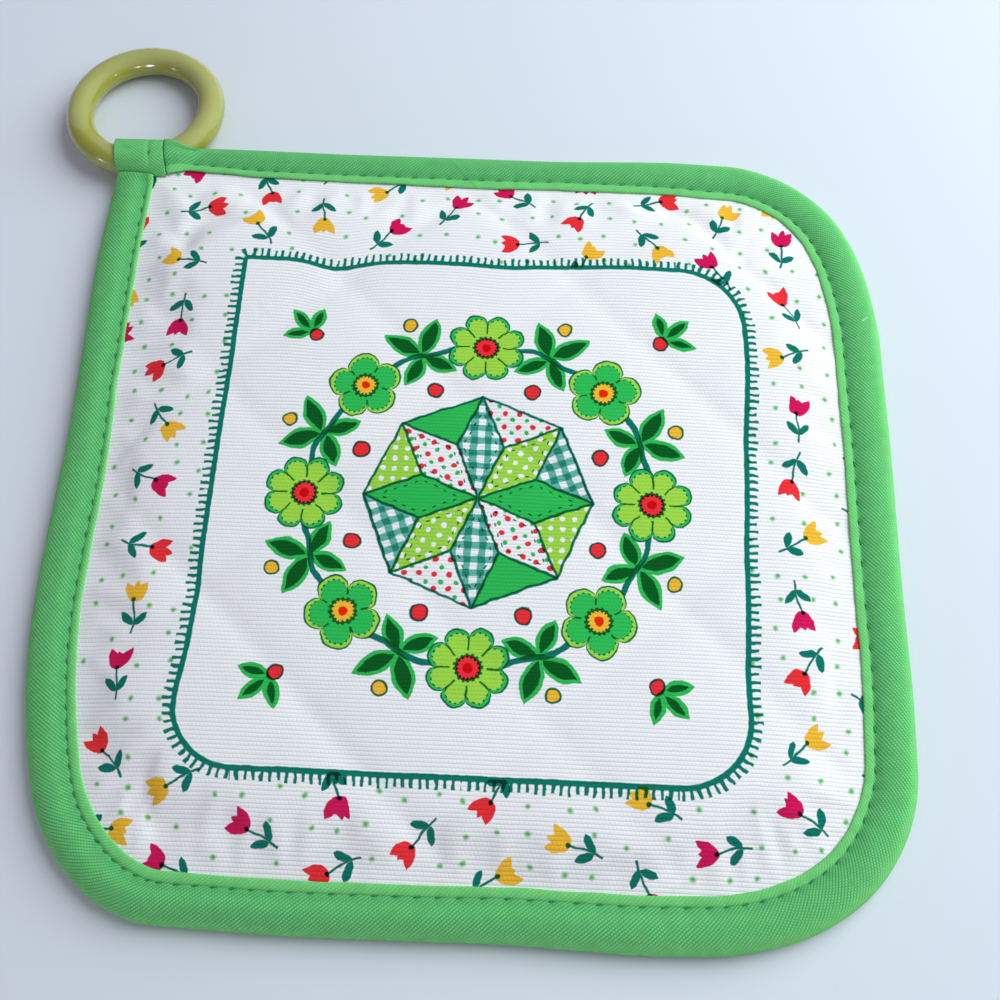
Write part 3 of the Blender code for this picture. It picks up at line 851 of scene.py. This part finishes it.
def binding_fold(width, lip, place, gap):
    """The tape's middle from its face lip round the edge to its back lip: (distance in, height)."""
    line = width - lip
    sunk = exp(-((gap / STITCH_DIP_REACH) ** 2))
    lifted = SEAM_HEIGHT + 0.00008 * uneven(place, 0.004, 11.0)
    puff = 1.0 + 0.14 * uneven(place, 0.011, 12.0) + 0.12 * uneven(place, 0.0045, 13.0)
    width += 0.00014 * uneven(place, 0.006, 14.0)
    return (
        *((width - out, lifted + high - pull * sunk) for out, high, pull in LIP_FOLD),
        *((line + past, lifted + high + soft * puff - pull * sunk) for past, high, soft, pull in SEAM_FOLD),
        (line - 0.0034, 0.0056 * (0.88 + 0.12 * puff)),
        (0.0029, 0.0053 * (0.9 + 0.1 * puff)),
        *RIM_FOLD,
        *((line + past, high) for past, high in BACK_FOLD),
        *((width - out, high) for out, high in BACK_LIP),
    )


STITCH_COLUMN, RIM_COLUMN, BACK_COLUMN, LAST_COLUMN = 4, 13, 17, 23
# Where the ring lifts the tape, its rim is drawn back by this share of the lift, fully from here on.
RIM_DRAWN_BACK, DRAWN_BEFORE, DRAWN_FROM = 0.50, -0.0045, 0.0065


def sheet_grid(rows, flats, seams=None):
    """An open sheet through rows of points, with its flat coordinates as a UV map."""
    mesh = bmesh.new()
    bmesh.ops.create_grid(mesh, x_segments=len(rows[0]) - 1, y_segments=len(rows) - 1, size=1.0)
    mesh.verts.ensure_lookup_table()
    for vertex, point in zip(mesh.verts, (point for row in rows for point in row)):
        vertex.co = point
    for name, table in (("tape", flats), ("seam", seams or flats)):
        layer = mesh.loops.layers.uv.new(name)
        places = [place for row in table for place in row]
        for face in mesh.faces:
            for corner in face.loops:
                corner[layer].uv = places[corner.vert.index]
    return mesh


def binding_line():
    """The stretch of the edge that is bound: its points, with their distances and normals."""
    start = next(index for index, point in enumerate(edge) if point[0] > BINDING_START_X)
    end = max(index for index, point in enumerate(edge) if point[1] < BINDING_END_Y)
    line, distances = evenly_spaced(edge[start : end + 1], EDGE_STEP)
    line[0, 0], line[-1, 1] = BINDING_START_X, BINDING_END_Y
    return distances, (*line.T, *outward_normals(line).T)


def on_line(place):
    return [np.interp(place, bound_distances, column) for column in bound_columns]


def stitch_places():
    """How far round the binding each stitch is, at the hand's own uneven pitch."""
    places, place = [], FIRST_STITCH
    while place < bound_distances[-1] - LAST_STITCH:
        places.append(place)
        x, y, _, _ = on_line(place)
        _, _, pitch = face_facts(x, y)
        place += pitch * (1.0 + 0.12 * uneven(place, 0.007, 21.0))
    return np.array(places)


def binding_section(place):
    """The tape across the edge at one place, with its flat coordinates and those by stitches."""
    x, y, normal_x, normal_y = on_line(place)
    width, lip, _ = face_facts(x, y)
    gap = np.abs(stitches - place).min()
    fold = binding_fold(width, lip, place, gap)
    steps = np.hypot(*np.diff(np.array(fold), axis=0).T)
    across = np.concatenate(([0.0], np.cumsum(steps)))
    across -= across[STITCH_COLUMN]
    phase = np.interp(place, stitches, np.arange(len(stitches)))
    points, flats, seams = [], [], []
    for index, (inset, height) in enumerate(fold):
        point_x, point_y = x - normal_x * inset, y - normal_y * inset
        if index <= RIM_COLUMN:
            raised = over_ring(point_x, point_y, height) - height
            share = eased(index, STITCH_COLUMN, RIM_COLUMN) * eased(place, DRAWN_BEFORE, DRAWN_FROM)
            drawn = RIM_DRAWN_BACK * raised * share
            point_x, point_y = point_x - normal_x * drawn, point_y - normal_y * drawn
            height = over_ring(point_x, point_y, height)
        points.append((leaning(point_x, point_y), point_y, height))
        flats.append((place, across[index]))
        seams.append((phase * 0.001, across[index]))
    return points, flats, seams


def sew_binding(mesh, places):
    """Slits the fold beside the loop, where the ring comes out between the tape's two layers."""
    mesh.verts.ensure_lookup_table()
    rows = sum(place < BINDING_SLIT for place in places)
    columns = range(RIM_COLUMN, BACK_COLUMN + 1)
    slit = {mesh.verts[row * (LAST_COLUMN + 1) + each] for row in range(rows + 1) for each in columns}
    cut = [face for face in mesh.faces if slit.issuperset(face.verts)]
    bmesh.ops.delete(mesh, geom=cut, context="FACES")


ROW_PITCH, THREAD_PITCH = 0.61, 0.56
ROW_DIRECTION = radians(-48)
TAPE_GREEN = (0.164, 0.605, 0.185, 1.0)
# The pale and the deep green are painted light: a painted highlight for the lip and rim, and painted shade
# for the groove, the needle holes and the puffed body.
TAPE_PAINTED_HIGHLIGHT = (0.180, 0.635, 0.180, 1.0)
TAPE_PAINTED_SHADE = (0.070, 0.370, 0.130, 1.0)
# Painted shade between the threads and along the loop's crease; also the colour of the binding's dark join
# line.
TAPE_GAP = (0.040, 0.260, 0.090, 1.0)
LOOP_GREEN = (0.1584, 0.5874, 0.1766, 1.0)  # the loop is evenly coloured, between the three above
# A join in the binding and a pulled thread, in millimetres along the tape and across it from the seam.
JOIN_PLACE, JOIN_SLOPE = 72.0, 0.9
PULL_PLACE, PULL_ACROSS, PULL_TURN, PULL_HALF = 192.4, 5.6, radians(-52), (0.95, 0.13)
PULLED_PALE = (0.34, 0.72, 0.30, 1.0)
STITCH_PITCH = 4.0
# Bands across the sewn tape, in millimetres out from the seam, for its painted shade (groove, needle holes,
# puffed body beside the seam) and painted highlight (lip, rim); two numbers start and end an easing.
GROOVE_MIDDLE, GROOVE_FADES, HOLE_SHADOW_FADES, LIP_STARTS = 0.25, (0.1, 2.2), (0.2, 1.25), -0.35
BODY_RISES, BODY_FADES, RIM_MIDDLE, RIM_FADES = (0.2, 1.4), (4.2, 7.6), 9.3, (0.3, 3.6)
# A thin line of painted shade runs along the loop's crease, here.
CREASE_SHADE_PLACE = -81.6  # where the loop is creased, in its own flat millimetres


def bias_weave(x, y):
    """A plain weave cut on the cross: how deep a place lies between threads, and the height."""
    across, along = turned(x, y, ROW_DIRECTION)
    from_row, from_column = in_weave(across / ROW_PITCH, along / THREAD_PITCH, 0.5)
    height = (1.0 - from_row * from_row) * (1.0 - 0.55 * from_column * from_column)
    return from_row, from_column, height


def bias_tape(name, sewn):
    """Green cotton tape. Where it is sewn, painted highlight brightens its lip and rim, and painted shade
    darkens its stitched groove, its needle holes and the puffed body beside the seam.
    """
    made, start, shader = new_material(name)
    x, y = cloth_place(start, "tape")
    from_row, from_column, height = bias_weave(x, y)
    wear = mottle(x * 0.35, y * 0.35, 1.0, 3.0)
    fibres = mottle(x, y, 2.5, 2.0)
    gap = from_row.far(0.35, 1.0) * (0.65 + 0.35 * from_column.far(0.3, 1.0))
    gap = gap.higher(from_column.far(0.70, 1.0) * 0.7)
    if sewn:
        phase, _ = cloth_place(start, "seam")
        from_stitch = abs(phase - phase.rounded()) * STITCH_PITCH
        # Painted shade: in the stitched groove, round each needle hole, and on the puffed body just beside
        # the seam.
        groove_shade = 1.0 - abs(y - GROOVE_MIDDLE).far(*GROOVE_FADES)
        body = y.far(*BODY_RISES) * (1.0 - y.far(*BODY_FADES))
        spot = 1.0 - length(from_stitch, (y - 0.2) * 0.9).far(*HOLE_SHADOW_FADES)
        dark = groove_shade * (0.34 + 0.4 * (wear - 0.5)) + spot * 0.34 + body * 0.22
        lip = y.below(LIP_STARTS)
        # Painted highlight on the rim and, weaker, on the lip.
        bright = (1.0 - abs(y - RIM_MIDDLE).far(*RIM_FADES)).higher(lip * 0.75)
        height = height * (1.0 - lip * 0.7)
        dark = (dark * (1.0 - lip * 0.8)).lower(1.0)
        line = (abs(x + y * JOIN_SLOPE - JOIN_PLACE) - 0.22).inked(0.5) * 0.5
        colour = dark.covered(bright.covered(TAPE_GREEN, TAPE_PAINTED_HIGHLIGHT), TAPE_PAINTED_SHADE)
    else:
        colour, bright = LOOP_GREEN, 0.4
        # Painted shade: a thin dark line along the loop's crease.
        line = (abs(x - CREASE_SHADE_PLACE) - 0.08).inked(0.4) * 0.45
    # Painted shade between the threads, weaker where the painted highlight is.
    thread_gap_shade = gap * (0.74 + 0.60 * wear) * (1.0 - 0.7 * bright)
    colour = thread_gap_shade.higher(line).covered(colour, TAPE_GAP)
    if sewn:
        out, side = turned(x - PULL_PLACE, y - PULL_ACROSS, PULL_TURN)
        pulled = (abs(out) - PULL_HALF[0]).higher(abs(side) - PULL_HALF[1])
        colour = pulled.inked(0.25).covered(colour, PULLED_PALE)
    shades = {"Color": colour, "Value": 0.84 + 0.32 * wear, "Saturation": 1.04 - 0.1 * fibres}
    worn = start.node("HueSaturation", None, shades)
    bump = weave_bump(height, 0.55)
    feed(start, shader, Base_Color=worn, Normal=bump, Roughness=0.85, Specular_IOR_Level=0.25)
    return made


bound_distances, bound_columns = binding_line()
stitches = stitch_places()
row_places = np.linspace(0.0, bound_distances[-1], round(bound_distances[-1] / BINDING_ROW) + 1)
sections = [binding_section(place) for place in row_places]
binding_mesh = sheet_grid(*zip(*sections))
sew_binding(binding_mesh, row_places)
binding = placed(binding_mesh, "bias_binding", bias_tape("bias_tape", True))


def thickened(made):
    """Gives a tape's middle its thickness on both sides, then rounds it."""
    wall = made.modifiers.new("Thickness", "SOLIDIFY")
    wall.thickness = TAPE_THICKNESS
    wall.offset = 0.0
    wall.edge_crease_rim = 0.6
    smoothed(made, 1)


thickened(binding)

# ------------------------
# The seam: a dark green thread sewn through all layers. Each stitch shows as a short slanted bar
# in the groove that it pulls, on the face and on the back.
THREAD_RADIUS, THREAD_SHOWN = 0.00018, 0.0016
THREAD_SLANT = radians(14)
THREAD_DARK, THREAD_PALE = (0.016, 0.15, 0.045, 1.0), (0.045, 0.30, 0.095, 1.0)
THREAD_SIDES, THREAD_STEPS = 6, 6
THREAD_ON_FACE, THREAD_ON_BACK = 0.00475, 0.00042
LOOP_STITCH = (-0.0815, 0.0848, 0.00870)


def thread_stitch(mesh, middle, direction):
    """One stitch: a short bar of thread that sinks into the cloth at both ends."""
    turn = direction.to_track_quat("X", "Z").to_matrix().to_4x4()
    shape = Matrix.Diagonal((THREAD_SHOWN / 2, THREAD_RADIUS, THREAD_RADIUS, 1.0))
    place = Matrix.Translation(middle) @ turn @ shape
    sizes = {"u_segments": THREAD_SIDES, "v_segments": THREAD_STEPS, "radius": 1.0}
    bmesh.ops.create_uvsphere(mesh, matrix=place, **sizes)


def seam_thread():
    mesh = bmesh.new()
    for number, place in enumerate(stitches):
        x, y, normal_x, normal_y = on_line(place)
        width, lip, _ = face_facts(x, y)
        seam_x, seam_y = x - normal_x * (width - lip), y - normal_y * (width - lip)
        along = Vector((normal_y, -normal_x, 0.0))
        slant = Matrix.Rotation(THREAD_SLANT * (1.0 + 0.5 * uneven(number, 1.7, 31.0)), 3, "Z")
        on_face = over_ring(seam_x, seam_y, THREAD_ON_FACE)
        seam_x = leaning(seam_x, seam_y)
        thread_stitch(mesh, Vector((seam_x, seam_y, on_face)), slant @ along)
        thread_stitch(mesh, Vector((seam_x, seam_y, THREAD_ON_BACK)), slant @ along)
    thread_stitch(mesh, Vector(LOOP_STITCH), Vector((0.35, 1.0, 0.0)))
    return mesh


def thread_finish():
    made, start, shader = new_material("sewing_thread")
    place = start.node("TexCoord", output=3)
    fleck = start.node("TexNoise", None, {"Vector": place, "Scale": 3500.0, "Detail": 2.0})
    feed(start, shader, Base_Color=fleck.covered(THREAD_DARK, THREAD_PALE), Roughness=0.55)
    return made


seam = placed(seam_thread(), "seam_thread", thread_finish())
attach(seam, "root")
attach(binding, "root")
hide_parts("binding")

# ------------------------
# The loop: a short piece of the same tape, folded round the ring's tube. Both its ends are caught at
# the pad's square corner.
LOOP_LEFT, LOOP_RIGHT, LOOP_END_Y = -0.0897, -0.07792, CORNER_Y
LOOP_CREST, LOOP_FOLD = 0.0045, 0.0100  # from its ends to its highest place, and to its fold
LOOP_STATIONS, LOOP_RISE, LOOP_TURN = 36, 10, 22
LOOP_FRONT_HEIGHT = 0.0051
LOOP_CREASE, LOOP_CREASE_DEPTH, LOOP_CREASE_WIDTH = 0.70, 0.00030, 0.045


def ring_line_y(x):
    """Where the middle of the ring's tube crosses the loop at a place, and how much it slants there."""
    slant = asin((x - RING_X) / RING_RADIUS)
    return RING_Y - RING_RADIUS * cos(slant), cos(slant)


def loop_section(x):
    """The loop's middle at one place: up the front, flat over the ring to the fold, and back below."""
    crest_y, cosine = ring_line_y(x + CORNER_LEAN * LOOP_CREST)
    fold_y, fold_cosine = ring_line_y(LOOP_RIGHT + CORNER_LEAN * LOOP_FOLD)
    tube_height = ring_line_height(crest_y)
    floor = TAPE_THICKNESS / 2 + 0.0001
    share = (x - LOOP_LEFT) / (LOOP_RIGHT - LOOP_LEFT)
    crease = LOOP_CREASE_DEPTH * exp(-(((share - LOOP_CREASE) / LOOP_CREASE_WIDTH) ** 2))
    bulge = 0.0002 * uneven(share, 0.35, 41.0)
    back_y, back_z = (LOOP_END_Y - crest_y) * cosine, LOOP_FRONT_HEIGHT - tube_height
    meeting = atan2(back_z, back_y) - acos(min(1.0, TAPE_RADIUS / hypot(back_y, back_z)))
    line = [(LOOP_END_Y - 0.0003, LOOP_FRONT_HEIGHT - 0.0006), (LOOP_END_Y, LOOP_FRONT_HEIGHT)]
    for turn in np.linspace(meeting, pi / 2, LOOP_RISE):
        raised = (TAPE_RADIUS + bulge - crease) * sin(turn)
        line.append((crest_y + TAPE_RADIUS / cosine * cos(turn), tube_height + raised))
    for turn in np.linspace(pi / 2, -pi / 2, LOOP_TURN):
        raised = (TAPE_RADIUS + (bulge - crease) * max(0.0, sin(turn))) * sin(turn)
        height = max(floor, tube_height + raised)
        line.append((fold_y + TAPE_RADIUS / fold_cosine * cos(turn), height))
    line.append(((fold_y + LOOP_END_Y) / 2, floor))
    line.append((LOOP_END_Y + 0.0008, floor + 0.0001))
    line.append((LOOP_END_Y, floor + 0.0002))
    return [(x + CORNER_LEAN * (y - LOOP_END_Y), y, height) for y, height in line]


def loop_form():
    rows = [loop_section(x) for x in np.linspace(LOOP_LEFT, LOOP_RIGHT, LOOP_STATIONS)]
    flats = []
    for row in rows:
        runs = np.linalg.norm(np.diff(np.array(row), axis=0), axis=1)
        flats.append([(row[0][0], -run) for run in np.concatenate(([0.0], np.cumsum(runs)))])
    return sheet_grid(rows, flats)


loop = placed(loop_form(), "ring_loop", bias_tape("loop_tape", False))
thickened(loop)
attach(loop, "root")
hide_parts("loop")

# ------------------------
# The ring: moulded in one piece from olive plastic, with a painted reflection that makes it paler on its
# upper side. It slopes down from the loop to its far side, and is free to slide and turn in the loop.
RING_SEGMENTS, RING_SIDES = 96, 28


def ring_form():
    mesh = bmesh.new()
    made = bmesh.ops.create_circle(mesh, segments=RING_SIDES, radius=RING_TUBE)
    stand = Matrix.Translation((RING_RADIUS, 0, 0)) @ Matrix.Rotation(pi / 2, 4, "X")
    bmesh.ops.transform(mesh, matrix=stand, verts=made["verts"])
    section = mesh.verts[:] + mesh.edges[:]
    whole_turn = {"cent": (0, 0, 0), "axis": (0, 0, 1), "angle": tau, "use_merge": True}
    bmesh.ops.spin(mesh, geom=section, steps=RING_SEGMENTS, **whole_turn)
    tilt = asin((RING_LOW - RING_RAISED) / (2 * RING_RADIUS))
    middle = Matrix.Translation((RING_X, RING_Y, (RING_LOW + RING_RAISED) / 2))
    bmesh.ops.transform(mesh, matrix=middle @ Matrix.Rotation(tilt, 4, "X"), verts=mesh.verts[:])
    bmesh.ops.recalc_face_normals(mesh, faces=mesh.faces[:])
    return mesh


# The ring's two colours are a painted reflection: the light one on its upper side, the dark one where the
# tube faces front and low. The noise below makes their border wavy, and more of the dark one shows towards
# the lower left.
REFLECTION_DARK, REFLECTION_LIGHT = (0.335, 0.340, 0.035, 1.0), (0.395, 0.405, 0.135, 1.0)
REFLECTION_RISE, REFLECTION_LEAN = 0.40, 0.32
REFLECTION_WANDER, REFLECTION_BLUR = 0.45, 0.07
SWIRL = {"Scale": 110.0, "Detail": 3.0, "Distortion": 0.6}
DARK_REFLECTION_BEARING, DARK_REFLECTION_DROP = radians(228), 0.55


def plastic_with_painted_reflection():
    """Olive plastic with a painted reflection: paler on its upper side, darker towards the front and the
    lower left, with a wavy border between the two colours.
    """
    made, start, shader = new_material("ring_plastic")
    place = start.node("TexCoord", output=3)
    x, y, z = place.parts()
    east, north = x - RING_X, y - RING_Y
    from_middle = length(east, north)
    outward = (from_middle - RING_RADIUS) / from_middle
    fall = (RING_LOW - RING_RAISED) / (2 * RING_RADIUS)
    above = z - (RING_LOW + RING_RAISED) / 2 - north * fall
    dark_reflection_side, _ = turned(east / from_middle, north / from_middle, DARK_REFLECTION_BEARING)
    upward = (above + outward * north * REFLECTION_LEAN) / RING_TUBE - dark_reflection_side.far(0.70, 1.0) * DARK_REFLECTION_DROP
    swirl = start.node("TexNoise", None, {"Vector": place, **SWIRL})
    band = (upward - REFLECTION_RISE + (swirl - 0.5) * REFLECTION_WANDER).far(-REFLECTION_BLUR, REFLECTION_BLUR)
    colour = (band * (0.80 + 0.5 * (swirl - 0.5))).covered(REFLECTION_DARK, REFLECTION_LIGHT)
    feed(start, shader, Base_Color=colour, Roughness=0.25, Coat_Weight=0.7, Coat_Roughness=0.04)
    return made


ring = placed(ring_form(), "moulded_ring", plastic_with_painted_reflection())
smoothed(ring, 1)
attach(ring, "root")
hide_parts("ring")

# ------------------------
# The studio: a plain pale floor, a broad soft light from the right, a weak one low in front, and a
# dim bluish surround.
FLOOR_SIZE, FLOOR_DROP = 1.6, 0.00005
LIGHT_PLACE, LIGHT_SIZE, LIGHT_POWER = (0.50, 0.27, 0.50), 0.85, 8.1
LIGHT_COLOUR = (0.89, 1.0, 0.985)
FILL_PLACE, FILL_SIZE, FILL_POWER = (-0.30, -0.75, 0.12), 0.50, 0.9
# Small lamps that only show as glints on the ring: (place, size, power).
GLINTS = (
    ((-0.29, -0.93, 0.23), 0.24, 3.6), ((0.12, -0.95, 0.27), 0.16, 1.6),
    ((0.81, -0.52, 0.26), 0.10, 0.6), ((-0.88, -0.44, 0.12), 0.10, 0.6),
)
SURROUND = (1.01, 0.945, 1.10, 1.0)
SURROUND_STRENGTH = 0.285
FLOOR_COLOUR = (0.69, 0.72, 0.80, 1.0)


def pale_floor():
    mesh = bmesh.new()
    bmesh.ops.create_grid(mesh, x_segments=1, y_segments=1, size=FLOOR_SIZE)
    bmesh.ops.translate(mesh, vec=(0, 0, -FLOOR_DROP), verts=mesh.verts[:])
    made, start, shader = new_material("floor_white")
    feed(start, shader, Base_Color=FLOOR_COLOUR, Roughness=0.6)
    return placed(mesh, "floor", made)


def soft_light(name, place, size, power, glint):
    """A round light that faces the pot holder. A glint shows in shiny surfaces only; others never do."""
    data = bpy.data.lights.new(name, "AREA")
    data.shape = "DISK"
    data.size = size
    data.energy = power
    data.color = LIGHT_COLOUR
    light = bpy.data.objects.new(name, data)
    facing = Vector(place).to_track_quat("Z", "Y").to_matrix().to_4x4()
    light.matrix_world = Matrix.Translation(place) @ facing
    light.visible_glossy = glint
    light.visible_diffuse = not glint
    scene.collection.objects.link(light)


pale_floor()
soft_light("window", LIGHT_PLACE, LIGHT_SIZE, LIGHT_POWER, False)
soft_light("front_fill", FILL_PLACE, FILL_SIZE, FILL_POWER, False)
for number, (glint_place, glint_size, glint_power) in enumerate(GLINTS):
    soft_light(f"lamp_{number + 1}", glint_place, glint_size, glint_power, True)
world = bpy.data.worlds.new("surround")
world.use_nodes = True
for name, value in (("Color", SURROUND), ("Strength", SURROUND_STRENGTH)):
    world.node_tree.nodes["Background"].inputs[name].default_value = value
scene.world = world
